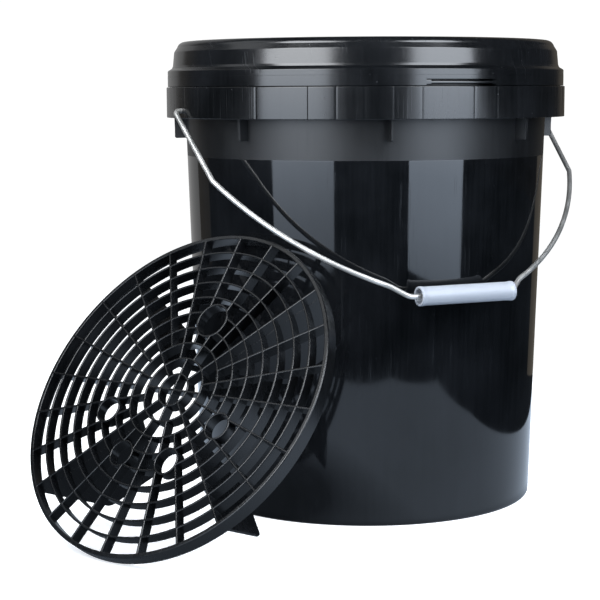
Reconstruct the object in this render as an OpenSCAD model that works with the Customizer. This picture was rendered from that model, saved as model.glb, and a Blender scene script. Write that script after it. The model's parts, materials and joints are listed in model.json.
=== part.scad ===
// Wash bucket: a tapered pail with a press-on lid, a wire bail with a tube grip,
// and a loose grit guard that leans on the front of the pail.
// Millimetres. +Z is up and the origin is the centre of the pail's base on the floor.
// The bail's pivot axis runs along X, and the bail hangs towards -Y.

/* [Pail] */
// Height of the pail's own rim above the floor
pail_h = 364; // [362:1:365]
// Outer radius that the wall's taper has at the floor
base_r = 136.5; // [135:0.5:137]
// Outer radius of the wall at the rim
rim_r = 148.7; // [148:0.1:149]
// Thickness of the pail's wall
wall = 2.2; // [1.8:0.1:2.6]
// Radius of the rounded corner between wall and base
base_corner = 3.5; // [3:0.5:6]
// Height of the recess under the floor
floor_recess = 3; // [2:0.5:4]
// Thickness of the floor
floor_t = 2.6; // [2.2:0.1:3]

/* [Skirt] */
// Outer radius of the stiffening skirt
skirt_r = 162.5; // [162:0.1:163]
// Height of the skirt's lower edge
skirt_z0 = 310.7; // [309:0.1:312]
// Height of the skirt's upper face
skirt_z1 = 335; // [334.5:0.1:335.2]
// Thickness of the skirt and of its top web
skirt_t = 2; // [1.6:0.1:2.2]
// Turn of the first web from the +X axis
web_turn = 2.3; // [2:0.1:2.6]
// Thickness of one web
web_t = 1.6; // [1.2:0.1:2]
// Height of the lower end of the long fins
fin_z0 = 294; // [290:1:300]
// Outer radius of the long fins below the skirt
fin_r = 156; // [154:0.5:158]

/* [Lid] */
// Height of the lid's top
lid_top = 371.3; // [371:0.1:372]
// Outer radius of the lid's lower band
band_r = 161.3; // [161:0.1:161.8]
// Height of the lower edge of the lid's band
band_z0 = 335.6; // [335.4:0.1:336]
// Height of the upper edge of the lid's band
band_z1 = 348.4; // [348:0.1:349]
// Height of the line at which the tear strip parts from the lid
tear_z = 343.2; // [342:0.1:344]
// Thickness of the lid
lid_t = 2; // [1.6:0.1:2.2]
// Outer radius of the recessed panel
panel_r = 140.5; // [139:0.5:141]
// Height of the recessed panel's upper face
panel_z = 363.6; // [362:0.1:365]
// Number of webs that centre the lid in the mouth
plug_web_count = 36; // [24:12:48]
// Angle at the middle of the pull tab
tab_angle = 269; // [260:1:275]
// Angle that the pull tab spans
tab_span = 21; // [16:1:24]

/* [Bail] */
// Height of the bail's pivot axis
pivot_z = 317; // [316.5:0.1:318]
// Angle of the bail from straight down, towards the front
bail_lean = 48.8; // [48:0.1:55]
// Diameter of the wire
wire_d = 4; // [3.6:0.1:4]
// Radial running clearance of the wire in its holes
run_gap = 0.08; // [0.04:0.01:0.1]
// Distance from the pivot axis to the grip's axis
bail_reach = 207.8; // [200:0.1:210]
// Length of the grip
grip_len = 81.4; // [80:0.2:81.4]
// Distance that the grip has slid along the wire
grip_slide = 3.7; // [0:0.1:3.8]
// Outer diameter of the grip
grip_d = 14.5; // [14:0.1:15.5]

/* [Grit guard] */
// Inner radius of the guard's rim
guard_r = 130.8; // [130:0.1:131]
// Thickness of the guard's rim
guard_rim_t = 2.5; // [2:0.1:2.5]
// Depth of the guard's rim
guard_rim_depth = 11; // [10:0.1:11]
// Depth of the guard's rings and spokes
rib_depth = 9; // [7:0.5:10]
// Thickness of the guard's rings and spokes
rib_t = 1.7; // [1.2:0.1:2]
// Depth of the vanes from the guard's face
vane_depth = 64; // [55:1:64]
// Thickness of one vane
vane_t = 2.2; // [1.8:0.1:2.4]
// Clear radius of the thumb hole
thumb_r = 12.7; // [12:0.1:13.5]
// Clear radius of the four finger holes
finger_r = 9.3; // [9:0.1:10]

/* [Hidden] */
$fn = 96;

black = "#1a1b1e";
black_soft = "#232427";
zinc = "#b9bcc0";
white = "#eef0f2";
rubber_grey = "#4a4c50";

// Pail
taper = (rim_r - base_r) / pail_h;
bead_r = 152.5;
bead_z0 = 352;
bead_lip = 3.2;
floor_step = 4;
gate_pad_r = 18;
ear_boss_r = 6;
ear_boss_depth = 3;
ear_clear = 6;
web_count = 48;
web_step = 360 / web_count;
web_reach = 30;
web_tall = 100;
fin_every = 6;
fin_first = 3;
web_z0 = 315;

// Lid
dome_r = 157;
dome_z0 = 350;
top_corner_r = 6;
seal_gap = 0.3;
lid_shoulder_r = 153.6;
gasket_r0 = 145.9;
gasket_r1 = 150.2;
plug_r = 142.5;
plug_web_r = 145.7;
tab_h = 3.6;
tab_bar_h = 1.7;
tab_gap = 0.5;

// Bail: the flat shape of one half, across and away from the pivot axis
wire_r = wire_d / 2;
ear_out = 168.4;
ear_in = 153;
hook_len = 7;
knee_swell = 0.04;
arc_centre = [-63.5, -16.9];
arc_r = 244.6;
arc_a0 = 23.2;
arc_a1 = 60.6;
grip_entry = 44.5;
grip_bore_wall = 3;
grip_bearing_x = 24;
grip_hollow_r = 5.3;
grip_end_r = 7.6;

// Grit guard: the place of its face's centre and its turns
guard_pos = [-210.1, -96.8, 114.82];
guard_heading = -65.99;
guard_rise = 35.63;
guard_roll = 30.56;
ring_count = 9;
ring_pitch = guard_r / (ring_count + 1);
spoke_count = 24;
spoke_step = 360 / spoke_count;
seam_turn = spoke_step / 2;
spoke_starts = [1, 3, 2, 3, 2, 3];
cross_angles = [60, 150];
hole_pitch_r = 59.8;
thumb_angle = 52.5;
finger_angles = [172.5, 217.5, 262.5, 307.5];
hole_wall = 1.6;
vane_angles = [15, 105, 195, 285];
vane_tip_r = 108.5;
vane_heel_r = 62;
vane_root_r = 34;

function wall_r(z) = base_r + taper * z;
function arc(cx, cz, r, a0, a1, n) =
  [for (i = [0:n]) [cx + r * cos(a0 + (a1 - a0) * i / n), cz + r * sin(a0 + (a1 - a0) * i / n)]];
function on_bail_arc(a) = [arc_centre[0] + arc_r * cos(a), arc_centre[1] + arc_r * sin(a)];

// ---- Pail ----

corner_x = wall_r(base_corner) - base_corner;

module pail_wall() {
  color(black)
    rotate_extrude()
      polygon(concat(
        [[corner_x, 0]],
        arc(corner_x, base_corner, base_corner, -75, 0, 5),
        [[wall_r(pail_h), pail_h], [wall_r(pail_h) - wall, pail_h]],
        arc(corner_x, base_corner, base_corner - wall, 0, -75, 5),
        [[corner_x, wall]]
      ));
}

module pail_floor() {
  under = floor_recess;
  over = floor_recess + floor_t;
  color(black)
    rotate_extrude()
      polygon([
        [0, 0], [gate_pad_r, 0], [gate_pad_r + 1, under], [corner_x - floor_step, under],
        [corner_x - floor_step + 2, 0], [corner_x, 0], [corner_x, wall],
        [corner_x - floor_step + 1, over], [0, over]
      ]);
}

module pail_rim_bead() {
  color(black)
    rotate_extrude()
      polygon([
        [wall_r(bead_z0), bead_z0], [bead_r - 1.2, bead_z0 + 1.5], [bead_r, bead_z0 + 3],
        [bead_r, bead_z0 + bead_lip + 1], [bead_r - 2, bead_z0 + bead_lip + 2.4],
        [bead_r - 2, pail_h - 0.8], [bead_r - 2.8, pail_h], [wall_r(pail_h), pail_h]
      ]);
}

module ear_hole() {
  translate([0, 0, pivot_z])
    rotate([0, 90, 0])
      cylinder(r = wire_r + run_gap, h = 2 * (skirt_r + 5), center = true);
}

module skirt_flange() {
  web_z = skirt_z1 - skirt_t;
  inner = skirt_r - skirt_t;
  color(black)
    rotate_extrude()
      polygon([[wall_r(web_z), web_z], [inner, web_z], [inner, skirt_z1], [wall_r(skirt_z1), skirt_z1]]);
}

module pail_skirt() {
  inner = skirt_r - skirt_t;
  color(black)
    difference() {
      rotate_extrude()
        polygon([
          [inner, skirt_z0], [skirt_r, skirt_z0], [skirt_r, skirt_z1 - 0.6],
          [skirt_r - 0.6, skirt_z1], [inner, skirt_z1]
        ]);
      ear_hole();
    }
}

function web_angle(k) = web_turn + k * web_step;
function off_ear(a) = abs((a + 90) % 180 - 90);
function is_fin(k) = k % fin_every == fin_first;

module web_plate(a) {
  rotate([0, 0, a])
    translate([base_r, -web_t / 2, skirt_z1 - web_tall])
      cube([web_reach, web_t, web_tall]);
}

module skirt_webs() {
  web_z = skirt_z1 - skirt_t;
  color(black)
    intersection() {
      rotate_extrude()
        polygon([
          [wall_r(web_z0), web_z0], [skirt_r - skirt_t, web_z0],
          [skirt_r - skirt_t, web_z], [wall_r(web_z), web_z]
        ]);
      union() {
        for (k = [0:web_count - 1])
          if (!is_fin(k) && off_ear(web_angle(k)) > ear_clear)
            web_plate(web_angle(k));
      }
    }
}

module wall_fins() {
  web_z = skirt_z1 - skirt_t;
  color(black)
    intersection() {
      rotate_extrude()
        polygon([
          [wall_r(fin_z0), fin_z0], [fin_r - 1, fin_z0], [fin_r, fin_z0 + 1],
          [fin_r, skirt_z0 + 2], [skirt_r - skirt_t, skirt_z0 + 6],
          [skirt_r - skirt_t, web_z], [wall_r(web_z), web_z]
        ]);
      union() {
        for (k = [0:web_count - 1])
          if (is_fin(k))
            web_plate(web_angle(k));
      }
    }
}

module ear_boss(side) {
  inner = skirt_r - skirt_t;
  color(black)
    difference() {
      intersection() {
        translate([side * (inner - ear_boss_depth), 0, pivot_z])
          rotate([0, side * 90, 0])
            cylinder(r = ear_boss_r, h = 2 * ear_boss_depth);
        cylinder(r = inner, h = pail_h, $fn = 480);
      }
      ear_hole();
    }
}

module ear_boss_left() { ear_boss(-1); }
module ear_boss_right() { ear_boss(1); }

// ---- Lid ----

module lid_panel() {
  color(black)
    rotate_extrude()
      polygon([
        [0, panel_z - lid_t], [panel_r, panel_z - lid_t], [panel_r, panel_z],
        [panel_r - 12, panel_z], [panel_r - 13, panel_z + 0.8], [panel_r - 16, panel_z + 0.8],
        [panel_r - 17, panel_z], [0, panel_z]
      ]);
}

module lid_plug() {
  color(black)
    rotate_extrude()
      polygon([
        [panel_r, panel_z - lid_t], [plug_r, panel_z - lid_t], [plug_r, lid_top],
        [plug_r - 0.8, lid_top], [panel_r, panel_z + 4]
      ]);
}

module lid_rim() {
  corner = top_corner_r;
  in_corner = corner - lid_t;
  cx = lid_shoulder_r - corner;
  cz = lid_top - corner;
  color(black)
    rotate_extrude()
      polygon(concat(
        [[band_r, tear_z], [band_r, band_z1 - 0.8], [band_r - 0.8, band_z1],
         [dome_r + 0.8, dome_z0], [dome_r, dome_z0 + 2], [dome_r - 1.1, 363]],
        arc(cx, cz, corner, 15, 90, 5),
        [[plug_r, lid_top], [plug_r, lid_top - lid_t]],
        arc(cx, cz, in_corner, 90, 15, 4),
        [[dome_r - 1.1 - lid_t, 362.4], [dome_r - lid_t, dome_z0 + 1.4],
         [dome_r - 1, band_z1 - lid_t], [band_r - lid_t, band_z1 - lid_t - 0.6],
         [band_r - lid_t, tear_z]]
      ));
}

module lid_plug_webs() {
  z0 = panel_z - lid_t;
  z1 = lid_top - lid_t - 1;
  color(black)
    intersection() {
      rotate_extrude()
        polygon([[plug_r, z0], [plug_web_r - 1, z0], [plug_web_r, z0 + 1], [plug_web_r, z1], [plug_r, z1]]);
      union() {
        for (k = [0:plug_web_count - 1])
          rotate([0, 0, k * 360 / plug_web_count])
            translate([panel_r, -web_t / 2, z0])
              cube([web_reach, web_t, z1 - z0]);
      }
    }
}

module lid_gasket() {
  z0 = pail_h + seal_gap;
  z1 = lid_top - lid_t;
  color(rubber_grey)
    rotate_extrude()
      polygon([
        [gasket_r0 + 0.3, z0], [gasket_r1 - 0.8, z0], [gasket_r1, z0 + 0.8], [gasket_r1, z0 + 2],
        [gasket_r1 - 0.6, z1 - 0.9], [gasket_r1 - 2.8, z1], [gasket_r0, z1], [gasket_r0, z0 + 0.6]
      ]);
}

module sector(a0, a1, r0, r1, z0, z1) {
  rotate([0, 0, a0])
    rotate_extrude(angle = a1 - a0)
      translate([r0, z0])
        square([r1 - r0, z1 - z0]);
}

module tear_strip() {
  inner = band_r - lid_t;
  color(black)
    difference() {
      rotate_extrude()
        polygon([
          [inner, band_z0 + 2.5], [inner - 1.6, band_z0 + 1.6], [inner - 1.6, band_z0],
          [band_r, band_z0], [band_r, tear_z], [inner, tear_z]
        ]);
      sector(tab_angle - tab_span / 2, tab_angle + tab_span / 2, inner - 5, band_r + 5, band_z0 - 1, band_z0 + tab_h);
    }
}

module tear_tab() {
  a0 = tab_angle - tab_span / 2;
  a1 = tab_angle + tab_span / 2;
  z0 = band_z0 + tab_gap;
  inner = band_r - lid_t;
  color(black)
    union() {
      sector(a0, a1 - 0.4, inner, band_r - 0.2, z0, z0 + tab_bar_h);
      sector(a0, a0 + 1.6, inner, band_r, z0, band_z0 + tab_h);
    }
}

// ---- Bail: drawn flat, with x across and y away from the pivot axis ----

module in_bail_plane() {
  translate([0, 0, pivot_z])
    rotate([-90 - bail_lean, 0, 0])
      children();
}

module rod(a, b) {
  d = b - a;
  translate([a[0], a[1], 0])
    rotate([0, 0, atan2(d[1], d[0])])
      rotate([0, 90, 0])
        cylinder(r = wire_r, h = norm(d));
}

module knee(p) {
  translate([p[0], p[1], 0])
    sphere(r = wire_r + knee_swell);
}

module bail_half() {
  hook_end = [ear_in, -hook_len];
  hook = [ear_in, 0];
  ear = [ear_out, 0];
  shoulder = on_bail_arc(arc_a0);
  neck = on_bail_arc(arc_a1);
  entry = [grip_entry, bail_reach];
  rod(hook_end, hook);
  rod(hook, ear);
  rod(ear, shoulder);
  translate([arc_centre[0], arc_centre[1], 0])
    rotate([0, 0, arc_a0])
      rotate_extrude(angle = arc_a1 - arc_a0)
        translate([arc_r, 0])
          circle(r = wire_r);
  rod(neck, entry);
  for (p = [hook_end, hook, ear, shoulder, neck, entry])
    knee(p);
}

module bail_wire() {
  color(zinc)
    in_bail_plane()
      union() {
        bail_half();
        mirror([1, 0, 0])
          bail_half();
        rod([-grip_entry, bail_reach], [grip_entry, bail_reach]);
      }
}

module bail_grip() {
  half = grip_len / 2;
  bore = wire_r + run_gap;
  outer = grip_d / 2;
  color(white)
    in_bail_plane()
      translate([grip_slide, bail_reach, 0])
        rotate([0, 90, 0])
          rotate_extrude()
            polygon([
              [bore, -grip_bearing_x - grip_bore_wall], [bore, grip_bearing_x + grip_bore_wall],
              [grip_hollow_r, grip_bearing_x + grip_bore_wall], [grip_hollow_r + 0.4, half],
              [grip_end_r - 0.4, half], [grip_end_r, half - 0.6], [grip_end_r, half - 2.6],
              [outer, half - 4.6], [outer, -half + 4.6],
              [grip_end_r, -half + 2.6], [grip_end_r, -half + 0.6], [grip_end_r - 0.4, -half],
              [grip_hollow_r + 0.4, -half], [grip_hollow_r, -grip_bearing_x - grip_bore_wall]
            ]);
}

// ---- Grit guard: its own frame has the face at z = 0 and the back at -z ----

module in_guard_frame() {
  translate(guard_pos)
    rotate([0, 0, guard_heading])
      rotate([90 - guard_rise, 0, 0])
        rotate([0, 0, guard_roll])
          children();
}

module tube(r0, r1, z0, z1) {
  rotate_extrude()
    translate([r0, z0])
      square([r1 - r0, z1 - z0]);
}

module guard_rim() {
  r1 = guard_r + guard_rim_t;
  color(black_soft)
    in_guard_frame()
      rotate_extrude()
        polygon([
          [guard_r, -guard_rim_depth], [r1, -guard_rim_depth], [r1, -0.8],
          [r1 - 0.8, 0], [guard_r + 0.4, 0], [guard_r, -0.4]
        ]);
}

module hole_posts(grow) {
  rotate([0, 0, thumb_angle])
    translate([hole_pitch_r, 0, -30])
      cylinder(r = thumb_r + grow, h = 60);
  for (a = finger_angles)
    rotate([0, 0, a])
      translate([hole_pitch_r, 0, -30])
        cylinder(r = finger_r + grow, h = 60);
}

module guard_ring(k) {
  mid = k * ring_pitch;
  rotate([0, 0, seam_turn])
    tube(mid - rib_t / 2, mid + rib_t / 2, -rib_depth, 0);
}

module guard_spoke(a, from_r, to_r) {
  rotate([0, 0, a])
    translate([from_r, -rib_t / 2, -rib_depth])
      cube([to_r - from_r, rib_t, rib_depth]);
}

module guard_grid() {
  color(black_soft)
    in_guard_frame()
      difference() {
        intersection() {
          union() {
            for (k = [1:ring_count])
              guard_ring(k);
            for (i = [0:spoke_count - 1])
              guard_spoke((i + 1) * spoke_step, spoke_starts[i % len(spoke_starts)] * ring_pitch, guard_r + 3);
            for (a = cross_angles)
              guard_spoke(a, -2 * ring_pitch, 2 * ring_pitch);
          }
          rotate([0, 0, seam_turn])
            tube(0, guard_r, -rib_depth, 0);
        }
        hole_posts(hole_wall);
      }
}

module guard_hole_ring(a, r) {
  color(black_soft)
    in_guard_frame()
      rotate([0, 0, a])
        translate([hole_pitch_r, 0, 0])
          tube(r, r + hole_wall, -rib_depth, 0);
}

module guard_thumb_ring() { guard_hole_ring(thumb_angle, thumb_r); }
module guard_finger_ring(i) { guard_hole_ring(finger_angles[i - 1], finger_r); }

module guard_vane(i) {
  color(black_soft)
    in_guard_frame()
      rotate([0, 0, vane_angles[i - 1]])
        translate([0, vane_t / 2, 0])
          rotate([90, 0, 0])
            linear_extrude(height = vane_t)
              polygon([
                [vane_root_r, -rib_depth], [guard_r, -rib_depth], [guard_r, -guard_rim_depth],
                [vane_tip_r, -vane_depth], [vane_heel_r, -vane_depth]
              ]);
}

pail_wall();
pail_floor();
pail_rim_bead();
skirt_flange();
pail_skirt();
skirt_webs();
wall_fins();
ear_boss_left();
ear_boss_right();
lid_panel();
lid_plug();
lid_rim();
lid_plug_webs();
lid_gasket();
tear_strip();
tear_tab();
bail_wire();
bail_grip();
guard_rim();
guard_grid();
guard_thumb_ring();
guard_finger_ring(1);  // guard_finger_ring_1
guard_finger_ring(2);  // guard_finger_ring_2
guard_finger_ring(3);  // guard_finger_ring_3
guard_finger_ring(4);  // guard_finger_ring_4
guard_vane(1);  // guard_vane_1
guard_vane(2);  // guard_vane_2
guard_vane(3);  // guard_vane_3
guard_vane(4);  // guard_vane_4
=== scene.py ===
"""Wash bucket with a press-on lid, a wire bail with a tube grip, and a loose grit guard."""

import json
import math

import bmesh
import bpy
from mathutils import Matrix, Vector


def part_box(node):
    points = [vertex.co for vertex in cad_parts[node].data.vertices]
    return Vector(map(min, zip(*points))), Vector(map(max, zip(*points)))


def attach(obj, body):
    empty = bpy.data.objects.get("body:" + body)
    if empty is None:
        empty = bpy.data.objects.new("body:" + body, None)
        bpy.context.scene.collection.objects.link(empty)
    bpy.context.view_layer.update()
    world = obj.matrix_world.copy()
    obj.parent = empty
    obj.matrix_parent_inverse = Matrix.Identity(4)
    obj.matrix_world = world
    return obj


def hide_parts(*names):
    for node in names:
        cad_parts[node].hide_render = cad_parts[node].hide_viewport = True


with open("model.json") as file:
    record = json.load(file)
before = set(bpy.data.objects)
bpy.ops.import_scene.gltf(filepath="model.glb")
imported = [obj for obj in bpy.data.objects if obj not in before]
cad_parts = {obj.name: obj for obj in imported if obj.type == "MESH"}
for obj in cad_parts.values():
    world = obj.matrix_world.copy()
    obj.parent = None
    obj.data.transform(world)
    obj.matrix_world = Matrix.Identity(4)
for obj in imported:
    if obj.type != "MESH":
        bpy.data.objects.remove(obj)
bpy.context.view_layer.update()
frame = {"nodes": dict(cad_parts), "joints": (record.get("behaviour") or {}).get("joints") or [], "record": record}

MM = 0.001
# Angle between two faces, in degrees, from which their edge is a crease
SHARP = 38
JOINTS = {j["name"]: j for j in frame["joints"]}
MOUNTS = {m["name"]: m for m in frame["record"]["mounts"]}


# ---- Shape helpers, all in millimetres ----


def rounded(points, radii, steps=3):
    """A closed outline whose corners are filleted; radii is one radius or one per corner."""
    count = len(points)
    if not isinstance(radii, (list, tuple)):
        radii = [radii] * count
    out = []
    for i in range(count):
        corner = Vector(points[i])
        before = Vector(points[i - 1]) - corner
        after = Vector(points[(i + 1) % count]) - corner
        reach = 0.48 * min(before.length, after.length)
        before.normalize()
        after.normalize()
        half = math.acos(max(-1.0, min(1.0, before.dot(after)))) / 2
        if radii[i] <= 0 or half > math.radians(88.5) or half < 0.01:
            out.append((corner.x, corner.y))
            continue
        cut = min(radii[i] / math.tan(half), reach)
        radius = cut * math.tan(half)
        centre = corner + (before + after).normalized() * (radius / math.sin(half))
        start = corner + before * cut - centre
        end = corner + after * cut - centre
        a0 = math.atan2(start.y, start.x)
        turn = (math.atan2(end.y, end.x) - a0 + math.pi) % (2 * math.pi) - math.pi
        for k in range(steps + 1):
            a = a0 + turn * k / steps
            out.append((centre.x + radius * math.cos(a), centre.y + radius * math.sin(a)))
    return out


def arc(cx, cy, radius, a0, a1, steps):
    """Points on an arc, from angle a0 to a1 in degrees."""
    turns = [math.radians(a0 + (a1 - a0) * i / steps) for i in range(steps + 1)]
    return [(cx + radius * math.cos(t), cy + radius * math.sin(t)) for t in turns]


def divided(points, step):
    """The open polyline with its long segments cut to at most step."""
    out = [points[0]]
    for a, b in zip(points, points[1:]):
        pieces = max(1, math.ceil(math.dist(a, b) / step))
        for i in range(1, pieces + 1):
            out.append((a[0] + (b[0] - a[0]) * i / pieces, a[1] + (b[1] - a[1]) * i / pieces))
    return out


def even_turn(count):
    return [360 * i / count for i in range(count)]


def span(a0, a1, step):
    pieces = max(2, math.ceil((a1 - a0) / step))
    return [a0 + (a1 - a0) * i / pieces for i in range(pieces + 1)]


def weighted_normals(obj):
    obj.modifiers.new("normals", "WEIGHTED_NORMAL").keep_sharp = True


def finished(name, bm, place=None, sharp=SHARP, weighted=True):
    """The bmesh as an object in metres, with smooth faces and sharp creases."""
    bmesh.ops.recalc_face_normals(bm, faces=bm.faces)
    bm.transform(Matrix.Scale(MM, 4))
    if place is not None:
        bm.transform(place)
    mesh = bpy.data.meshes.new(name)
    bm.to_mesh(mesh)
    bm.free()
    mesh.shade_smooth()
    mesh.set_sharp_from_angle(angle=math.radians(sharp))
    obj = bpy.data.objects.new(name, mesh)
    bpy.context.scene.collection.objects.link(obj)
    if weighted:
        weighted_normals(obj)
    return obj


def turned(bm, profile, angles, loop=True, whole=True, shift=None, axis="Z"):
    """Adds a turned solid. profile is (radius, height); loop=False ends on the axis."""
    rings = []
    for a in angles:
        c, s = math.cos(math.radians(a)), math.sin(math.radians(a))
        ring = []
        for r, h in profile:
            far = r + (shift(a, h, r) if shift else 0)
            at = (far * c, far * s, h) if axis == "Z" else (h, far * c, far * s)
            ring.append(bm.verts.new(at))
        rings.append(ring)
    count, last = len(rings), len(profile) - (0 if loop else 1)
    for i in range(count if whole else count - 1):
        a, b = rings[i], rings[(i + 1) % count]
        for j in range(last):
            k = (j + 1) % len(profile)
            bm.faces.new((a[j], b[j], b[k], a[k]))
    if not whole:
        bm.faces.new(rings[0])
        bm.faces.new(list(reversed(rings[-1])))
    if not loop:
        poles = [ring[k] for ring in rings for k in (0, -1)]
        bmesh.ops.remove_doubles(bm, verts=poles, dist=1e-4)


def lathe(name, profile, angles, place=None, **kind):
    bm = bmesh.new()
    turned(bm, profile, angles, **kind)
    return finished(name, bm, place)


def merge(bm, part, place):
    """Moves a bmesh to its place and adds it to another one."""
    part.transform(place)
    mesh = bpy.data.meshes.new("part")
    part.to_mesh(mesh)
    part.free()
    bm.from_mesh(mesh)
    bpy.data.meshes.remove(mesh)


def plate(bm, outline, thick, place, bevel=0.35):
    """Adds a flat plate: its outline in X and Z, centred on Y = 0, with rounded edges."""
    part = bmesh.new()
    near = [part.verts.new((x, -thick / 2, z)) for x, z in outline]
    far = [part.verts.new((x, thick / 2, z)) for x, z in outline]
    part.faces.new(near)
    part.faces.new(list(reversed(far)))
    for i in range(len(outline)):
        j = (i + 1) % len(outline)
        part.faces.new((near[j], near[i], far[i], far[j]))
    bmesh.ops.bevel(
        part, geom=part.edges[:], offset=bevel, segments=2, profile=0.5, affect="EDGES"
    )
    merge(bm, part, place)


def cut_away(obj, profile, places):
    """Cuts a turned solid, at each place, out of the object."""
    bm = bmesh.new()
    for place in places:
        part = bmesh.new()
        turned(part, profile, even_turn(48), loop=False)
        merge(bm, part, place)
    cutter = finished("cutter", bm, weighted=False)
    obj.modifiers.clear()
    modifier = obj.modifiers.new("cut", "BOOLEAN")
    modifier.operation = "DIFFERENCE"
    modifier.solver = "EXACT"
    modifier.object = cutter
    graph = bpy.context.evaluated_depsgraph_get()
    obj.data = bpy.data.meshes.new_from_object(obj.evaluated_get(graph))
    obj.modifiers.clear()
    bpy.data.objects.remove(cutter)
    obj.data.set_sharp_from_angle(angle=math.radians(SHARP))
    weighted_normals(obj)


def turn_z(degrees):
    return Matrix.Rotation(math.radians(degrees), 4, "Z")


def wobble(seed, k):
    """A fixed, evenly spread value from -1 to 1 for a whole number k."""
    return math.sin(k * 12.9898 + seed * 78.233) * 43758.5453 % 2 - 1


# ---- Materials ----


def add(tree, kind, props=None, **inputs):
    """Adds a shader node; a space in an input's name is written as _."""
    node = tree.nodes.new("ShaderNode" + kind)
    for name, value in (props or {}).items():
        setattr(node, name, value)
    for name, value in inputs.items():
        socket = node.inputs[name.replace("_", " ")]
        if isinstance(value, bpy.types.NodeSocket):
            tree.links.new(value, socket)
        else:
            socket.default_value = value
    return node


def noise(tree, coords, scale, stretch=(1, 1, 1), turn=(0, 0, 0), detail=3.0):
    moved = add(tree, "Mapping", Vector=coords, Scale=stretch, Rotation=turn)
    made = add(
        tree, "TexNoise", Vector=moved.outputs["Vector"], Scale=scale, Detail=detail,
        Roughness=0.55,
    )
    return made.outputs["Fac"]


def remap(tree, value, low, high, to_low=0.0, to_high=1.0):
    made = add(
        tree, "MapRange", Value=value, From_Min=low, From_Max=high, To_Min=to_low, To_Max=to_high
    )
    return made.outputs["Result"]


def math_node(tree, operation, a, b):
    node = tree.nodes.new("ShaderNodeMath")
    node.operation = operation
    for socket, value in zip(node.inputs, (a, b)):
        if isinstance(value, bpy.types.NodeSocket):
            tree.links.new(value, socket)
        else:
            socket.default_value = value
    return node.outputs[0]


def plus(tree, *values):
    total = values[0]
    for value in values[1:]:
        total = math_node(tree, "ADD", total, value)
    return total


def times(tree, a, b):
    return math_node(tree, "MULTIPLY", a, b)


def blend_colour(tree, factor, a, b):
    return add(tree, "MixRGB", Fac=factor, Color1=a, Color2=b).outputs["Color"]


def colour(r, g, b):
    return (r, g, b, 1.0)


def scratches(tree, coords, turn, fine, cut_off):
    """Sparse straight hair scratches in one direction, 0 or 1."""
    lines = noise(tree, coords, 1.0, (fine, 9, 9), turn, detail=2.0)
    gaps = noise(tree, coords, 26.0, detail=1.0)
    return times(
        tree, remap(tree, lines, cut_off, cut_off + 0.03), remap(tree, gaps, 0.5, 0.62)
    )


def specks(tree, coords, scale, size, share):
    """Small round dust specks in a share of the cells."""
    cells = add(tree, "TexVoronoi", Vector=coords, Scale=scale)
    near = remap(tree, cells.outputs["Distance"], size * 0.6, size, 1.0, 0.0)
    pick = add(tree, "SeparateColor", Color=cells.outputs["Color"]).outputs[0]
    return times(tree, near, math_node(tree, "GREATER_THAN", pick, 1 - share))


def blank(name):
    """A new material with its node tree and its object coordinates."""
    material = bpy.data.materials.new(name)
    material.use_nodes = True
    tree = material.node_tree
    return material, tree, add(tree, "TexCoord").outputs["Object"]


def surfaced(tree, tone, gloss, bump):
    """Links colour, roughness and bump to the material's shader, and returns the shader."""
    shader = tree.nodes["Principled BSDF"]
    tree.links.new(tone, shader.inputs["Base Color"])
    tree.links.new(gloss, shader.inputs["Roughness"])
    tree.links.new(bump.outputs["Normal"], shader.inputs["Normal"])
    return shader


def moulded(name, dark, pale, rough, haze=0.05, streak=0.03, grain=0.03, dust=0.12):
    """Moulded plastic: haze, flow streaks, hair scratches, dust and a fine surface grain."""
    material, tree, coords = blank(name)
    wear = 0.25
    cloud = remap(tree, noise(tree, coords, 14.0, detail=5.0), 0.35, 0.65)
    flow = remap(tree, noise(tree, coords, 1.0, (340, 340, 11), detail=3.0), 0.3, 0.7)
    lines = plus(
        tree,
        scratches(tree, coords, (0.5, 0.2, 0.9), 1500.0, 0.68),
        scratches(tree, coords, (1.2, 0.9, 2.3), 1100.0, 0.69),
        scratches(tree, coords, (0.1, 1.35, 0.4), 1300.0, 0.7),
    )
    dots = specks(tree, coords, 210.0, 0.13, 0.16)
    shade = plus(
        tree, times(tree, cloud, 0.35), times(tree, flow, 0.15), times(tree, dots, dust * 5),
        times(tree, lines, wear),
    )
    tone = blend_colour(tree, math_node(tree, "MINIMUM", shade, 1.0), dark, pale)
    gloss = plus(
        tree, rough, times(tree, cloud, haze), times(tree, flow, streak),
        times(tree, lines, wear * 0.6), times(tree, dots, dust),
    )
    skin = noise(tree, coords, 900.0, detail=2.0)
    height = plus(
        tree, times(tree, skin, grain), times(tree, flow, grain * 0.7), times(tree, lines, -0.05)
    )
    bump = add(tree, "Bump", Height=height, Strength=0.35, Distance=0.0003)
    shader = surfaced(tree, tone, gloss, bump)
    shader.inputs["Specular IOR Level"].default_value = 0.5
    shader.inputs["IOR"].default_value = 1.5
    return material


def zinc_material():
    """Drawn steel wire with a bright zinc coat: fine lines, dull patches and spangle."""
    material, tree, coords = blank("zinc_wire")
    patch = remap(tree, noise(tree, coords, 70.0, detail=4.0), 0.35, 0.7)
    fine = noise(tree, coords, 900.0, (1, 1, 0.25), detail=2.0)
    cells = add(tree, "TexVoronoi", Vector=coords, Scale=420.0)
    spangle = add(tree, "SeparateColor", Color=cells.outputs["Color"]).outputs[0]
    tone = blend_colour(tree, patch, colour(0.50, 0.50, 0.48), colour(0.64, 0.63, 0.61))
    gloss = plus(
        tree, 0.3, times(tree, patch, 0.12), times(tree, fine, 0.08), times(tree, spangle, 0.05)
    )
    bump = add(
        tree, "Bump", Height=plus(tree, fine, times(tree, spangle, 0.3)), Strength=0.12,
        Distance=0.0002,
    )
    surfaced(tree, tone, gloss, bump).inputs["Metallic"].default_value = 0.86
    return material


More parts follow.
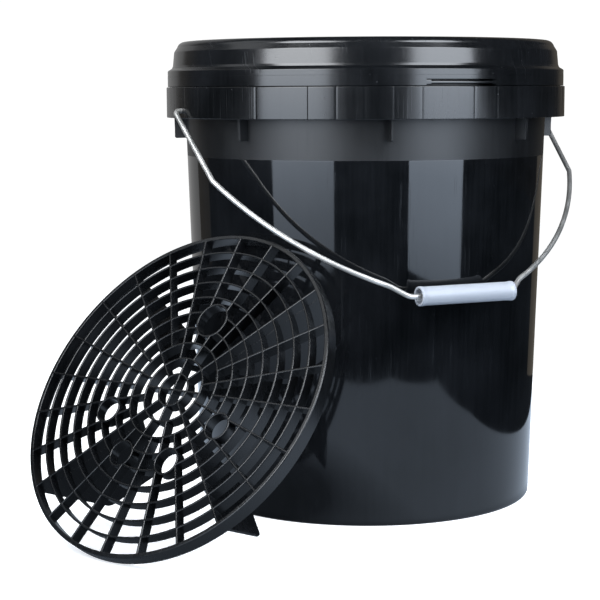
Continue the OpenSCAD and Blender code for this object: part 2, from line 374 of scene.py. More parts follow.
def grip_material():
    """White polyethylene: slightly translucent, with scuffs and faint grey handling marks.

    Its base colour is darker than the real plastic, to suit the strong light of this scene.
    """
    material, tree, coords = blank("grip_white")
    cloud = remap(tree, noise(tree, coords, 60.0, detail=5.0), 0.3, 0.7)
    rub = remap(tree, noise(tree, coords, 1.0, (40, 900, 900), detail=3.0), 0.45, 0.8)
    dots = specks(tree, coords, 300.0, 0.12, 0.1)
    soil = plus(tree, times(tree, cloud, 0.35), times(tree, rub, 0.25), times(tree, dots, 0.6))
    tone = blend_colour(
        tree, math_node(tree, "MINIMUM", soil, 1.0), colour(0.305, 0.325, 0.36),
        colour(0.24, 0.255, 0.29),
    )
    gloss = plus(tree, 0.3, times(tree, cloud, 0.12), times(tree, rub, 0.15))
    height = plus(tree, rub, times(tree, noise(tree, coords, 700.0), 0.6))
    bump = add(tree, "Bump", Height=height, Strength=0.15, Distance=0.0003)
    shader = surfaced(tree, tone, gloss, bump)
    shader.inputs["Subsurface Weight"].default_value = 0.2
    shader.inputs["Subsurface Radius"].default_value = (1.0, 1.0, 1.1)
    shader.inputs["Subsurface Scale"].default_value = 0.0012
    return material


# The two tones of every black moulding, darker than the real plastic to suit this scene's light
BLACK = colour(0.0012, 0.0015, 0.0018)
GREY = colour(0.010, 0.011, 0.013)
gloss_black = moulded("pail_gloss", BLACK, GREY, 0.03, haze=0.035, streak=0.02, grain=0.006)
matte_black = moulded("pail_matte", BLACK, GREY, 0.38, haze=0.06, grain=0.05)
skirt_black = moulded("skirt_satin", BLACK, GREY, 0.17, haze=0.08, streak=0.05, dust=0.2)
lid_black = moulded("lid_satin", BLACK, GREY, 0.16, haze=0.07, streak=0.02, dust=0.2)
guard_black = moulded("guard_satin", BLACK, GREY, 0.2, haze=0.08, streak=0.04, dust=0.1)
rubber = moulded(
    "gasket_rubber", colour(0.05, 0.052, 0.056), colour(0.11, 0.11, 0.115), 0.6, haze=0.12,
    grain=0.12,
)
zinc = zinc_material()
white = grip_material()


def settle(obj, body, slot, material, *nodes):
    """Gives a piece its body and material, and hides the CAD nodes that it stands for; the slot is not used."""
    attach(obj, body)
    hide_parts(*nodes)
    obj.data.materials.clear()
    obj.data.materials.append(material)


# ---- Pail ----

PAIL_H = 364.0
BASE_R = 136.5
TAPER = (148.7 - BASE_R) / PAIL_H
WALL = 2.2
# The glossy part of the wall ends here, at a step of this depth
PANEL_TOP = 280.0
PANEL_STEP = 0.04
CORNER = 3.5
SKIRT_R = 162.5
SKIRT_Z0, SKIRT_Z1 = 310.7, 335.0
PIVOT = Vector(JOINTS["bail_swing"]["pos_m"])
EAR_HOLE_R = 2.4
WEB_COUNT = 48
WEB_STEP = 360 / WEB_COUNT
WEB_TURN = 2.3
# The web beside which the skirt's skin has a split line
SPLIT_WEB = 30


def wall_r(z):
    return BASE_R + TAPER * z


def body_shift(a, z, r):
    """Slow waves that moulded walls have, a few hundredths of a millimetre."""
    if r < 60:
        return 0
    t = math.radians(a)
    fade = min(1.0, max(0.0, z / 60))
    return fade * (0.05 * math.sin(4 * t + z / 90) + 0.02 * math.sin(11 * t - z / 40 + 1))


def build_pail():
    corner = wall_r(CORNER) - CORNER
    outer = [(corner - 2, 0.6), (corner - 1.6, 0.0), (corner, 0.0)]
    outer += arc(corner, CORNER, CORNER, -84, 0, 9)
    outer += divided([(wall_r(8), 8.0), (wall_r(PANEL_TOP - 0.6), PANEL_TOP - 0.6)], 12)[1:]
    outer += [(wall_r(PANEL_TOP) - 0.05, PANEL_TOP - 0.3)]
    outer += [(wall_r(PANEL_TOP) - PANEL_STEP, PANEL_TOP)]
    outer += divided([(wall_r(281) - PANEL_STEP, 281.0), (wall_r(332) - PANEL_STEP, 332.0)], 8)
    outer += [(wall_r(333), 333.0), (wall_r(352), 352.0)]
    bead = rounded(
        [(wall_r(350), 350.0), (wall_r(352), 352.0), (151.3, 353.5), (152.5, 355.0),
         (152.5, 356.2), (150.5, 357.6), (150.5, 363.2), (149.7, 364.0),
         (wall_r(364) - WALL, 364.0), (wall_r(350) - WALL, 350.0)],
        [0, 0.4, 0.6, 0.5, 0.4, 0.6, 0.3, 0.3, 0.7, 0],
    )[2:]
    inner = divided([(wall_r(349) - WALL, 349.0), (wall_r(14) - WALL, 14.0)], 30)
    inner += arc(wall_r(11.6) - WALL - 6, 11.6, 6.0, 0, -90, 6)
    floor = [(60.0, 5.6), (0.0, 5.6), (0.0, 0.0), (17.4, 0.0), (18.0, 0.6), (18.8, 2.6),
             (20.0, 3.0), (70.0, 3.0), (corner - 5.0, 3.0), (corner - 4.0, 2.4)]
    # The floor's two ends lie on the axis, so the loop is opened there.
    profile = floor[2:] + outer + bead + inner + floor[:2]
    obj = lathe("pail_body", profile, even_turn(384), loop=False, shift=body_shift)
    settle(obj, "pail", "pail_black", gloss_black, "pail_wall", "pail_floor", "pail_rim_bead")
    obj.data.materials.append(matte_black)
    low = PANEL_TOP * MM - 0.0001
    for face in obj.data.polygons:
        wall = wall_r(face.center.z / MM) * MM
        if face.center.z > low or face.center.xy.length < wall - 0.001:
            face.material_index = 1


def skirt_angles():
    """Turns with extra samples by each web, where the skin sinks."""
    offsets = (-0.62, -0.4, -0.24, -0.12, -0.05, 0.05, 0.12, 0.24, 0.4, 0.62)
    offsets += (1.2, 2.2, 3.4, 4.6, 5.8, 6.5)
    return [WEB_TURN + WEB_STEP * k + d for k in range(WEB_COUNT) for d in offsets]


def skirt_shift(a, z, r):
    """Sink marks over the webs, slightly different panels between them, and one split line."""
    if r < SKIRT_R - 1.5:
        return 0
    k = math.floor((a - WEB_TURN) / WEB_STEP + 0.5)
    off = a - WEB_TURN - WEB_STEP * k
    panel = math.floor((a - WEB_TURN) / WEB_STEP)
    along = (a - WEB_TURN) / WEB_STEP - panel - 0.5
    strength = 0.05 + 0.06 * abs(wobble(1, k % WEB_COUNT))
    depth = strength * math.exp(-((off / 0.3) ** 2))
    if k % WEB_COUNT == SPLIT_WEB and abs(off) < 0.09:
        depth += 0.7
    bow = 0.10 * (0.25 - along * along) * (1 + wobble(3, panel % WEB_COUNT))
    tilt = 0.16 * wobble(2, panel % WEB_COUNT) * along
    return -0.12 - depth + max(-0.1, min(0.1, tilt)) + bow * 0.5


def build_skirt():
    web_z = SKIRT_Z1 - 2
    inner = SKIRT_R - 2
    profile = rounded(
        [(wall_r(web_z) - 0.4, web_z), (inner, web_z), (inner, SKIRT_Z0), (SKIRT_R, SKIRT_Z0),
         (SKIRT_R, SKIRT_Z1), (wall_r(SKIRT_Z1) - 0.4, SKIRT_Z1)],
        [0, 1.0, 0.35, 0.45, 0.7, 0],
    )
    obj = lathe("skirt", profile, skirt_angles(), shift=skirt_shift)
    ears = [
        Matrix.Translation(PIVOT / MM) @ Matrix.Rotation(math.pi / 2, 4, "Y")
        @ Matrix.Translation((0, 0, side * SKIRT_R))
        for side in (-1, 1)
    ]
    cut_away(obj, [(0.0, -6.0), (EAR_HOLE_R, -6.0), (EAR_HOLE_R, 6.0), (0.0, 6.0)], ears)
    settle(obj, "pail", "pail_black", skirt_black, "pail_skirt", "skirt_flange")


def build_fins():
    """The eight long webs that run down below the skirt."""
    bm = bmesh.new()
    outline = [(143.0, 332.8), (143.0, 296.2), (145.4, 294.2), (155.0, 294.0), (156.0, 295.0),
               (156.0, 312.7), (160.4, 316.7), (160.4, 332.8)]
    for k in range(8):
        plate(bm, outline, 1.9, turn_z(WEB_TURN + WEB_STEP * (6 * k + 3)), bevel=0.4)
    settle(finished("wall_ribs", bm), "pail", "pail_black", matte_black, "wall_fins")


# ---- Lid ----

BAND_R = 161.3
TEAR_Z = 343.2
# The slot of the pull tab runs between these turns
TAB_A0, TAB_A1 = 258.5, 279.5


def lid_shift(a, z, r):
    """Faint facets and a shallow mark or two on the outside of the lid's band."""
    if r < 150:
        return 0
    t = math.radians(a)
    wave = -0.03 + 0.03 * math.sin(9 * t + 0.6) * math.sin(2 * t)
    if r > 160.9 and z > TEAR_Z + 0.4:
        k = math.floor(a / 15 + 0.5)
        near = math.hypot((a - 15 * k - 3.2) / 0.42, (z - 346.3) / 1.0)
        wave -= 0.05 * math.exp(-near * near)
    return min(0.0, wave)


def build_lid():
    outer = [(0.0, 363.6), (60.0, 363.6), (123.5, 363.6), (124.5, 364.4), (127.5, 364.4),
             (128.5, 363.6), (140.5, 363.6), (140.5, 367.6), (141.7, 371.3), (147.6, 371.3)]
    outer = rounded(outer, [0, 0, 0.5, 0.4, 0.4, 0.5, 1.6, 1.5, 0.6, 0])
    corner = arc(147.6, 365.3, 6.0, 88, 18, 9)
    side = rounded(
        [(153.4, 366.85), (155.9, 363.0), (157.0, 352.0), (157.8, 350.0), (160.6, 348.4),
         (161.3, 347.6), (161.3, TEAR_Z + 0.02), (159.3, TEAR_Z + 0.02), (159.3, 345.8),
         (156.0, 346.4), (155.0, 351.4), (153.9, 362.4)],
        [0, 1.6, 1.2, 1.2, 0.5, 0.4, 0.06, 0.2, 0.8, 0.8, 1.0, 0],
    )
    under = arc(147.6, 365.3, 4.0, 15, 90, 6) + rounded(
        [(142.9, 369.3), (142.5, 368.9), (142.5, 361.6)], [0, 0, 0.4]
    ) + [(100.0, 361.6), (0.0, 361.6)]
    band = divided([(161.3, 347.2), (161.3, TEAR_Z + 0.6)], 0.6)
    split = next(i for i, p in enumerate(side) if p[0] > 161.2 and p[1] < 347.0)
    side = side[:split] + band + side[split:]
    profile = outer + corner + side + under
    obj = lathe("lid_shell", profile, span(0, 360 - 0.625, 0.625), loop=False, shift=lid_shift)
    settle(obj, "lid", "lid_black", lid_black, "lid_rim", "lid_panel", "lid_plug")


def build_tear_strip():
    """The strip that parts from the lid, with the slot that its pull tab sits in."""
    inner = BAND_R - 2
    hook = [(inner, 338.1), (inner - 1.6, 337.2), (inner - 1.6, 335.08), (BAND_R, 335.25),
            (BAND_R, TEAR_Z - 0.02), (inner, TEAR_Z - 0.02)]
    bm = bmesh.new()
    hook = rounded(hook, [0.4, 0.5, 0.3, 0.35, 0.06, 0.1])
    turned(bm, hook, span(TAB_A1, TAB_A0 + 360, 0.7), whole=False)
    over = [(inner, 340.0), (BAND_R, 340.0), (BAND_R, TEAR_Z - 0.02), (inner, TEAR_Z - 0.02)]
    over = rounded(over, [0.2, 0.35, 0.06, 0.1])
    turned(bm, over, span(TAB_A0 - 0.2, TAB_A1 + 0.2, 0.6), whole=False)
    settle(finished("tear_band", bm), "lid", "lid_black", lid_black, "tear_strip")


def build_tab():
    """The pull tab: a bar between two end blocks."""
    inner = BAND_R - 2
    bm = bmesh.new()
    bar = [(inner, 336.5), (BAND_R - 0.02, 336.5), (BAND_R - 0.02, 338.9), (inner, 338.9)]
    bar = rounded(bar, [0.3, 1.1, 1.1, 0.3], 5)
    turned(bm, bar, span(TAB_A0 + 0.2, TAB_A1 - 0.4, 0.6), whole=False)
    block = [(inner, 336.0), (BAND_R, 336.0), (BAND_R, 339.8), (inner, 339.8)]
    turned(bm, rounded(block, 0.7), span(TAB_A0, TAB_A0 + 1.3, 0.2), whole=False)
    turned(bm, rounded(block, 0.7), span(TAB_A1 - 0.9, TAB_A1, 0.2), whole=False)
    settle(finished("pull_tab", bm), "lid", "lid_black", lid_black, "tear_tab")


def build_gasket():
    profile = rounded(
        [(146.2, 364.3), (149.4, 364.3), (150.2, 365.1), (150.2, 366.3), (149.6, 368.4),
         (147.4, 369.3), (145.9, 369.3), (145.9, 364.9)], 0.4
    )
    settle(lathe("gasket", profile, even_turn(240)), "lid", "gasket_grey", rubber, "lid_gasket")


# ---- Bail and grip ----

GRIP = Vector(JOINTS["grip_spin"]["pos_m"])
AWAY = (GRIP - PIVOT).normalized()
ACROSS = Vector((1, 0, 0))
REACH = (GRIP - PIVOT).length / MM
GRIP_HALF = 40.7
# How far the grip has slid along the wire, to the right
GRIP_SLIDE = 3.7
# The tube's two parting lines, as turns
GRIP_SEAMS = (35, 215)
WIRE_R = 2.0
WIRE_SIDES = 20


def smooth_path(points, radii, steps=8):
    """An open polyline with its corners bent to the given radii."""
    return rounded(points, [0] + list(radii) + [0], steps)


def build_wire():
    """One length of wire: a hook through each ear, two arms, and the run through the grip."""
    arm = arc(-63.5, -16.9, 244.6, 60.6, 23.2, 26)
    neck, shoulder = arm[0], arm[-1]
    run = smooth_path([(0.0, REACH), (44.5, REACH), neck, arm[2]], [9.0, 22.0])
    hook = [(168.0, 0.6), (153.4, 0.0), (153.4, -6.8)]
    tail = smooth_path([arm[-2], shoulder] + hook, [6, 4.5, 3.2])
    half = divided(run[:-1] + arm[2:-2] + tail, 4.0)
    path = [(-x, y) for x, y in reversed(half)] + half[1:]
    bm = bmesh.new()
    points = [Vector((x, y)) for x, y in path]
    count = len(points)
    rings = []
    for i, p in enumerate(points):
        d = (points[min(i + 1, count - 1)] - points[max(i - 1, 0)]).normalized()
        side = Vector((-d.y, d.x))
        # The cut ends are rounded off: (distance along, share of the radius)
        ends = [(0.0, 1.0)]
        if i == 0:
            ends = [(0.0, 0.62), (0.25, 0.87), (0.75, 1.0)]
        if i == count - 1:
            ends = [(-0.75, 1.0), (-0.25, 0.87), (0.0, 0.62)]
        for along, size in ends:
            ring = []
            for k in range(WIRE_SIDES):
                t = 2 * math.pi * k / WIRE_SIDES
                flat = p + d * along + side * (WIRE_R * size * math.cos(t))
                ring.append(bm.verts.new((flat.x, flat.y, WIRE_R * size * math.sin(t))))
            rings.append(ring)
    for a, b in zip(rings, rings[1:]):
        for k in range(WIRE_SIDES):
            j = (k + 1) % WIRE_SIDES
            bm.faces.new((a[k], a[j], b[j], b[k]))
    bm.faces.new(rings[0])
    bm.faces.new(list(reversed(rings[-1])))
    up = ACROSS.cross(AWAY)
    place = Matrix.Translation(PIVOT) @ Matrix((ACROSS, AWAY, up)).transposed().to_4x4()
    settle(finished("wire", bm, place), "bail", "zinc_wire", zinc, "bail_wire")


def grip_shift(a, h, r):
    """Two faint parting lines along the tube."""
    if r < 6:
        return 0
    turn = (a - GRIP_SEAMS[0]) % 180
    off = min(turn, 180 - turn)
    return 0.1 * math.exp(-((off / 1.6) ** 2)) - 0.12


def build_grip():
    half = GRIP_HALF
    profile = [
        (2.3, -27.0), (2.3, 27.0), (5.3, 27.4), (5.7, half), (7.3, half), (7.6, half - 0.6),
        (7.6, half - 2.4), (7.25, half - 4.4), (7.25, -half + 4.4), (7.6, -half + 2.4),
        (7.6, -half + 0.6), (7.3, -half), (5.7, -half), (5.3, -27.4),
    ]
    soft = rounded(profile, [0.3, 0.3, 0.6, 0.5, 0.4, 0.5, 1.2, 3, 3, 1.2, 0.5, 0.4, 0.5, 0.6])
    close = (-3, -1.6, -0.8, 0, 0.8, 1.6, 3)
    turns = even_turn(60) + [seam + d for seam in GRIP_SEAMS for d in close]
    turns = sorted(set(round(t, 2) for t in turns))
    place = Matrix.Translation(GRIP + ACROSS * GRIP_SLIDE * MM)
    obj = lathe("grip", soft, turns, place=place, shift=grip_shift, axis="X")
    settle(obj, "grip", "grip_white", white, "bail_grip")


# ---- Grit guard ----

GUARD_R = 130.8
RIM_DEPTH = 11.0
RIB_DEPTH = 9.0
RIB_T = 1.7
PITCH = GUARD_R / 10
CELL_FILLET = 0.7
HOLE_PITCH_R = 59.8
THUMB_ANGLE, THUMB_R = 52.5, MOUNTS["thumb_hole"]["dims"]["r_mm"]
FINGER_ANGLES, FINGER_R = (172.5, 217.5, 262.5, 307.5), MOUNTS["finger_hole_1"]["dims"]["r_mm"]
# The first ring gap that each spoke of a group of six crosses
STARTS = (1, 3, 2, 3, 2, 3)
VANE_ANGLES = (15, 105, 195, 285)


def guard_place():
    """The guard's own frame: its face at z = 0, the thumb hole at 52.5 degrees."""
    up = Vector(MOUNTS["thumb_hole"]["axis"]).normalized()
    low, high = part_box("guard_rim")
    centre = (low + high) / 2 + up * (RIM_DEPTH * MM / 2)
    thumb = Vector(MOUNTS["thumb_hole"]["pos_m"]) - centre
    thumb -= up * thumb.dot(up)
    side = Matrix.Rotation(math.radians(-THUMB_ANGLE), 3, up) @ thumb.normalized()
    turn = Matrix((side, up.cross(side), up)).transposed().to_4x4()
    return Matrix.Translation(centre) @ turn


GUARD = guard_place()


def spokes_at(k):
    """The angles of the spokes that cross the gap between ring k and ring k + 1."""
    found = [15 * (i + 1) for i in range(24) if STARTS[i % 6] <= k]
    if k < 2:
        found += [60, 150, 240, 330]
    return sorted(set(a % 360 for a in found))


def cell(r0, r1, a0, a1, thick):
    """The opening between two rings and two spokes, with small fillets."""
    low, high = r0 + thick / 2, r1 - thick / 2
    near = math.degrees(math.asin(min(0.99, thick / 2 / max(low, 0.9))))
    far = math.degrees(math.asin(thick / 2 / high))
    if r0 == 0:
        tip = thick / 2 / math.sin(math.radians((a1 - a0) / 2))
        middle = math.radians((a0 + a1) / 2)
        inner = [(tip * math.cos(middle), tip * math.sin(middle))]
    else:
        inner = arc(0, 0, low, a1 - near, a0 + near, max(1, math.ceil((a1 - a0) / 4)))
    outer = arc(0, 0, high, a0 + far, a1 - far, max(1, math.ceil((a1 - a0) / 4)))
    outline = inner + outer
    radii = [0.0] * len(outline)
    for i in (0, len(inner) - 1, len(inner), len(outline) - 1):
        radii[i] = CELL_FILLET
    return rounded(outline, radii, 3)


def build_grid():
    """Rings and spokes as one sheet with filleted openings and rounded front edges."""
    bevel = 0.55
    flat_t = RIB_T - 2 * bevel
    loops = [arc(0, 0, GUARD_R + 0.6, 0, 357, 119)]
    for k in range(10):
        spokes = spokes_at(k)
        for a0, a1 in zip(spokes, spokes[1:] + [spokes[0] + 360]):
            hole = cell(k * PITCH, (k + 1) * PITCH, a0, a1, flat_t)
            loops.append(list(reversed(hole)))
    curve = bpy.data.curves.new("grid", "CURVE")
    curve.dimensions = "2D"
    curve.fill_mode = "BOTH"
    curve.extrude = RIB_DEPTH / 2 - bevel
    curve.bevel_depth = bevel
    curve.bevel_resolution = 2
    for loop in loops:
        spline = curve.splines.new("POLY")
        spline.points.add(len(loop) - 1)
        for point, (x, y) in zip(spline.points, loop):
            point.co = (x, y, 0, 1)
        spline.use_cyclic_u = True
    flat = bpy.data.objects.new("grid", curve)
    bpy.context.scene.collection.objects.link(flat)
    graph = bpy.context.evaluated_depsgraph_get()
    mesh = bpy.data.meshes.new_from_object(flat.evaluated_get(graph))
    bpy.data.objects.remove(flat)
    bm = bmesh.new()
    bm.from_mesh(mesh)
    bmesh.ops.remove_doubles(bm, verts=bm.verts, dist=0.002)
    bm.transform(Matrix.Translation((0, 0, -RIB_DEPTH / 2)))
    obj = finished("grid", bm, sharp=50, weighted=False)
    posts = [(THUMB_ANGLE, THUMB_R)] + [(a, FINGER_R) for a in FINGER_ANGLES]
    for angle, radius in posts:
        out = radius + 1.4
        at = turn_z(angle) @ Matrix.Translation((HOLE_PITCH_R, 0, 0))
        cut_away(obj, [(0.0, -20.0), (out, -20.0), (out, 20.0), (0.0, 20.0)], [at])
    obj.data.transform(GUARD)
    settle(obj, "guard", "guard_black", guard_black, "guard_grid")


def build_guard_parts():
    rim = rounded(
        [(GUARD_R, -RIM_DEPTH), (GUARD_R + 2.5, -RIM_DEPTH), (GUARD_R + 2.5, 0.0), (GUARD_R, 0.0)],
        [0.5, 0.6, 0.9, 0.7], 5
    )
    obj = lathe("rim", rim, even_turn(256), place=GUARD)
    settle(obj, "guard", "guard_black", guard_black, "guard_rim")
    posts = [("thumb_ring", THUMB_ANGLE, THUMB_R, "guard_thumb_ring")]
    for i, angle in enumerate(FINGER_ANGLES):
        posts.append((f"finger_ring_{i + 1}", angle, FINGER_R, f"guard_finger_ring_{i + 1}"))
    for name, angle, radius, node in posts:
        wall = rounded(
            [(radius, -RIB_DEPTH), (radius + 1.6, -RIB_DEPTH), (radius + 1.6, 0.0), (radius, 0.0)],
            0.5,
        )
        at = GUARD @ turn_z(angle) @ Matrix.Translation((HOLE_PITCH_R * MM, 0, 0))
        obj = lathe(name, wall, even_turn(72), place=at)
        settle(obj, "guard", "guard_black", guard_black, node)
    vane = [(34.0, -8.6), (GUARD_R + 0.3, -8.6), (GUARD_R + 0.3, -RIM_DEPTH), (108.5, -64.0),
            (62.0, -64.0)]
    soft = rounded(vane, [0, 0, 0, 4.0, 4.0], 5)
    for i, angle in enumerate(VANE_ANGLES):
        bm = bmesh.new()
        plate(bm, soft, 2.2, turn_z(angle), bevel=0.35)
        obj = finished(f"vane_{i + 1}", bm, place=GUARD)
        settle(obj, "guard", "guard_black", guard_black, f"guard_vane_{i + 1}")


build_pail()
build_skirt()
build_fins()
build_lid()
build_tear_strip()
build_tab()
build_gasket()
build_wire()
build_grip()
build_grid()
build_guard_parts()

for node, material in (("skirt_webs", matte_black), ("ear_boss_left", matte_black),
                       ("ear_boss_right", matte_black), ("lid_plug_webs", lid_black)):
    kept = frame["nodes"][node]
    kept.data.materials.clear()
    kept.data.materials.append(material)
    soften = kept.modifiers.new("edges", "BEVEL")
    soften.width = 0.0002
    soften.segments = 2
    soften.limit_method = "ANGLE"


# ---- Studio ----

CAMERA_TURN = -27.76
CAMERA_AZ = math.radians(CAMERA_TURN)
CAMERA_D = 1.4204
CAMERA_H = 0.3315
AIM = CAMERA_AZ + math.radians(2.173)
PITCH_DOWN = math.radians(6.94)
ROLL = math.radians(-0.22)
COOL = (0.92, 0.97, 1.0)
FLOOR_R = 3.0
# The table top that glows in reflections, measured from the pail: towards the camera, then aside
TABLE_FRONT = 0.604
TABLE_SIDE = 0.42
# The middle of the floor under the guard, where the painted shadows of the guard are centred
GUARD_SPOT = (-0.2, -0.09, 0.0)


def build_camera():
    data = bpy.data.cameras.new("camera")
    data.sensor_width = 36.0
    data.lens = 102.9
    data.clip_end = 20.0
    obj = bpy.data.objects.new("camera", data)
    bpy.context.scene.collection.objects.link(obj)
    ahead = Vector(
        (-math.sin(AIM) * math.cos(PITCH_DOWN), math.cos(AIM) * math.cos(PITCH_DOWN),
         -math.sin(PITCH_DOWN))
    )
    right = ahead.cross(Vector((0, 0, 1))).normalized()
    up = right.cross(ahead)
    side = right * math.cos(ROLL) + up * math.sin(ROLL)
    top = up * math.cos(ROLL) - right * math.sin(ROLL)
    turn = Matrix((side, top, -ahead)).transposed().to_4x4()
    at = Vector((math.sin(CAMERA_AZ) * CAMERA_D, -math.cos(CAMERA_AZ) * CAMERA_D, CAMERA_H))
    obj.matrix_world = Matrix.Translation(at) @ turn
    bpy.context.scene.camera = obj


def toward(azimuth, radius, height=0.0):
    """A point round the pail: azimuth in degrees from the camera's direction, to its right."""
    a = math.radians(270 + CAMERA_TURN + azimuth)
    return Vector((radius * math.cos(a), radius * math.sin(a), height))


def sheet(name, corners):
    """A four-sided sheet that the camera doesn't see, with an empty node tree."""
    mesh = bpy.data.meshes.new(name)
    mesh.from_pydata(corners, [], [(0, 1, 2, 3)])
    obj = bpy.data.objects.new(name, mesh)
    bpy.context.scene.collection.objects.link(obj)
    obj.visible_camera = False
    material = bpy.data.materials.new(name)
    material.use_nodes = True
    material.node_tree.nodes.clear()
    mesh.materials.append(material)
    return obj, material.node_tree


def lit(tree, glow, strength):
    """Makes the sheet glow."""
    light = add(tree, "Emission", Color=glow, Strength=strength)
    out = tree.nodes.new("ShaderNodeOutputMaterial")
    tree.links.new(light.outputs[0], out.inputs[0])


def panel(name, ends, rows):
    """An upright sheet; rows are (height, strength, blueness) from its foot to its top."""
    a, b = ends
    low, high = rows[0][0], rows[-1][0]
    up = Vector((0, 0, 1))
    obj, tree = sheet(name, [a + up * low, b + up * low, b + up * high, a + up * high])
    coords = add(tree, "TexCoord").outputs["Object"]
    height = add(tree, "SeparateXYZ", Vector=coords).outputs["Z"]
    ramp = add(tree, "ValToRGB", Fac=remap(tree, height, low, high))
    elements = ramp.color_ramp.elements
    peak = max(row[1] for row in rows)
    for i, (z, s, blue) in enumerate(rows):
        at = (z - low) / (high - low)
        element = elements[i] if i < 2 else elements.new(at)
        element.position = at
        share = s / peak
        element.color = (share * (1 - blue), share, share * (1 + 1.4 * blue), 1)
    lit(tree, ramp.outputs["Color"], peak)


def even_rows(top, strength, blue):
    """The rows of a panel with the same glow from the floor to its top."""
    return ((0, strength, blue), (top, strength, blue))


def build_floor():
    """A pale table top. The camera sees it whole and evenly lit, apart from a painted shadow under the guard.
    Reflections and indirect light see it dark, apart from a part in front of the pail that glows, with painted
    shadows beside the pail and under the guard.
    """
    points = [toward(a, FLOOR_R) for a in range(0, 360, 30)]
    bm = bmesh.new()
    bm.faces.new([bm.verts.new(p / MM) for p in points])
    obj = finished("floor", bm, weighted=False)
    if obj.data.polygons[0].normal.z < 0:
        obj.data.flip_normals()
    material = bpy.data.materials.new("floor")
    material.use_nodes = True
    tree = material.node_tree
    tree.nodes.clear()
    coords = add(tree, "TexCoord").outputs["Object"]
    tone = blend_colour(
        tree, noise(tree, coords, 6.0), colour(0.78, 0.79, 0.81), colour(0.82, 0.83, 0.85)
    )
    top = add(tree, "BsdfPrincipled", Base_Color=tone, Roughness=0.7)
    top.inputs["Specular IOR Level"].default_value = 0.1
    top.inputs["Emission Color"].default_value = (0.97, 0.99, 1.0, 1)
    ahead = add(tree, "VectorMath", {"operation": "DOT_PRODUCT"}, Vector=coords)
    ahead.inputs[1].default_value = toward(0, 1.0)
    aside = add(tree, "VectorMath", {"operation": "DOT_PRODUCT"}, Vector=coords)
    aside.inputs[1].default_value = toward(90, 1.0)
    ahead, aside = ahead.outputs["Value"], aside.outputs["Value"]
    slanted = plus(tree, times(tree, ahead, 0.3), 0.36)
    right_edge = math_node(tree, "MINIMUM", slanted, TABLE_SIDE)
    inside = times(
        tree,
        math_node(tree, "LESS_THAN", aside, right_edge),
        math_node(tree, "LESS_THAN", plus(tree, ahead, times(tree, aside, 0.62)), 0.706),
    )
    inside = times(tree, inside, math_node(tree, "LESS_THAN", ahead, TABLE_FRONT))
    inside = times(tree, inside, math_node(tree, "GREATER_THAN", aside, -TABLE_SIDE))
    # Painted shadows in the glow: a painted contact shadow right beside the pail and a painted shadow under the
    # guard make the glow weaker there.
    out_from = add(tree, "VectorMath", {"operation": "LENGTH"}, Vector=coords).outputs["Value"]
    # The painted contact shadow of the pail on the glowing floor
    shade = remap(tree, out_from, 0.135, 0.152, 0.6, 1.0)
    guard_mid = add(tree, "VectorMath", {"operation": "DISTANCE"}, Vector=coords)
    guard_mid.inputs[1].default_value = GUARD_SPOT
    guard_mid = guard_mid.outputs["Value"]
    # The painted shadow of the guard on the glowing floor
    under = remap(tree, guard_mid, 0.08, 0.2, 0.15, 1.0)
    level = plus(tree, 0.02, times(tree, inside, 0.84))
    level = times(tree, times(tree, level, shade), under)
    seen = add(tree, "Emission", Color=(0.84, 1.0, 1.22, 1), Strength=level)
    # A painted shadow of the guard: what the camera sees of the floor is a little darker under the guard.
    dim = remap(tree, guard_mid, 0.07, 0.15, 0.55, 1.0)
    tree.links.new(dim, top.inputs["Emission Strength"])
    split = add(tree, "MixShader", Fac=add(tree, "LightPath").outputs["Is Camera Ray"])
    tree.links.new(seen.outputs[0], split.inputs[1])
    tree.links.new(top.outputs[0], split.inputs[2])
    out = tree.nodes.new("ShaderNodeOutputMaterial")
    tree.links.new(split.outputs[0], out.inputs[0])
    obj.data.materials.append(material)


def area(name, at, size, power):
    """A soft round light above, aimed at the middle of the pail."""
    data = bpy.data.lights.new(name, "AREA")
    data.shape = "DISK"
    data.size = size
    data.energy = power
    data.color = COOL
    obj = bpy.data.objects.new(name, data)
    obj.location = at
    aim = Vector((0, 0, 0.2)) - at
    obj.rotation_euler = aim.to_track_quat("-Z", "Y").to_euler()
    bpy.context.scene.collection.objects.link(obj)
    obj.visible_camera = False
    obj.visible_glossy = False


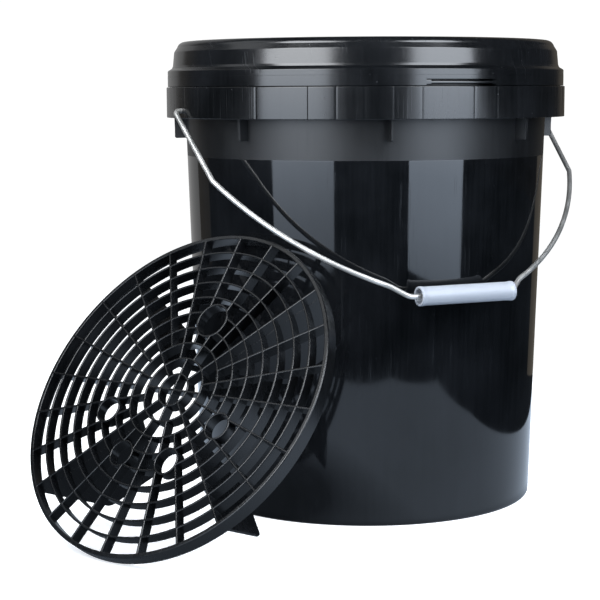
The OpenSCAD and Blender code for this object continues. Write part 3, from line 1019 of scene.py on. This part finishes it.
def ceiling_panel():
    """A high sheet on the left that draws the bright front edges of the guard's ribs."""
    middle = Vector((-0.98, 0.42, 1.2))
    face = (Vector((-0.21, -0.10, 0.12)) - middle).normalized()
    across = face.cross(Vector((0, 0, 1))).normalized() * 0.3
    upward = across.cross(face).normalized() * 0.3
    corners = [middle - across - upward, middle + across - upward,
               middle + across + upward, middle - across + upward]
    obj, tree = sheet("ceiling", corners)
    obj.visible_diffuse = False
    lit(tree, (0.95, 0.98, 1.0, 1), 1.1)


def build_light():
    """Two softboxes in front, three dim panels behind, one high sheet and two soft lights."""
    left = ((0.085, 1.3, 0.14), (0.155, 1.8, 0.14), (0.21, 2.7, 0.13), (0.3, 4.6, 0.11),
            (0.5, 11.0, 0.03), (1.2, 13.0, 0.03))
    right = ((0.085, 2.0, 0.16), (0.2, 3.4, 0.15), (0.3, 5.0, 0.12), (0.5, 9.5, 0.06),
             (1.2, 11.0, 0.05))
    panel("softbox_left", (toward(-54, 0.70), toward(-17.5, 0.81)), left)
    panel("softbox_right", (toward(25, 0.81), toward(58, 0.70)), right)
    panel("back_left", (toward(180, 1.9), toward(229, 1.7)), even_rows(1.9, 0.42, 0))
    panel("back_far_left", (toward(229, 1.7), toward(245, 1.6)), even_rows(1.9, 0.10, -0.1))
    panel("back_right", (toward(132, 0.62), toward(172, 0.7)), even_rows(1.2, 0.13, -0.12))
    ceiling_panel()
    area("top", toward(20, 0.7, 1.7), 1.2, 12.0)
    area("fill", toward(-30, 1.5, 1.0), 1.0, 5.0)
    # The camera sees a white backdrop; everything else sees a nearly dark room.
    world = bpy.data.worlds.new("studio")
    bpy.context.scene.world = world
    world.use_nodes = True
    tree = world.node_tree
    tree.nodes.clear()
    seen = add(tree, "LightPath").outputs["Is Camera Ray"]
    strength = remap(tree, seen, 0.0, 1.0, 0.02, 1.05)
    back = add(tree, "Background", Strength=strength, Color=(1, 1, 1, 1))
    out = tree.nodes.new("ShaderNodeOutputWorld")
    tree.links.new(back.outputs[0], out.inputs[0])
    bpy.context.scene.view_settings.view_transform = "Standard"


build_camera()
build_floor()
build_light()
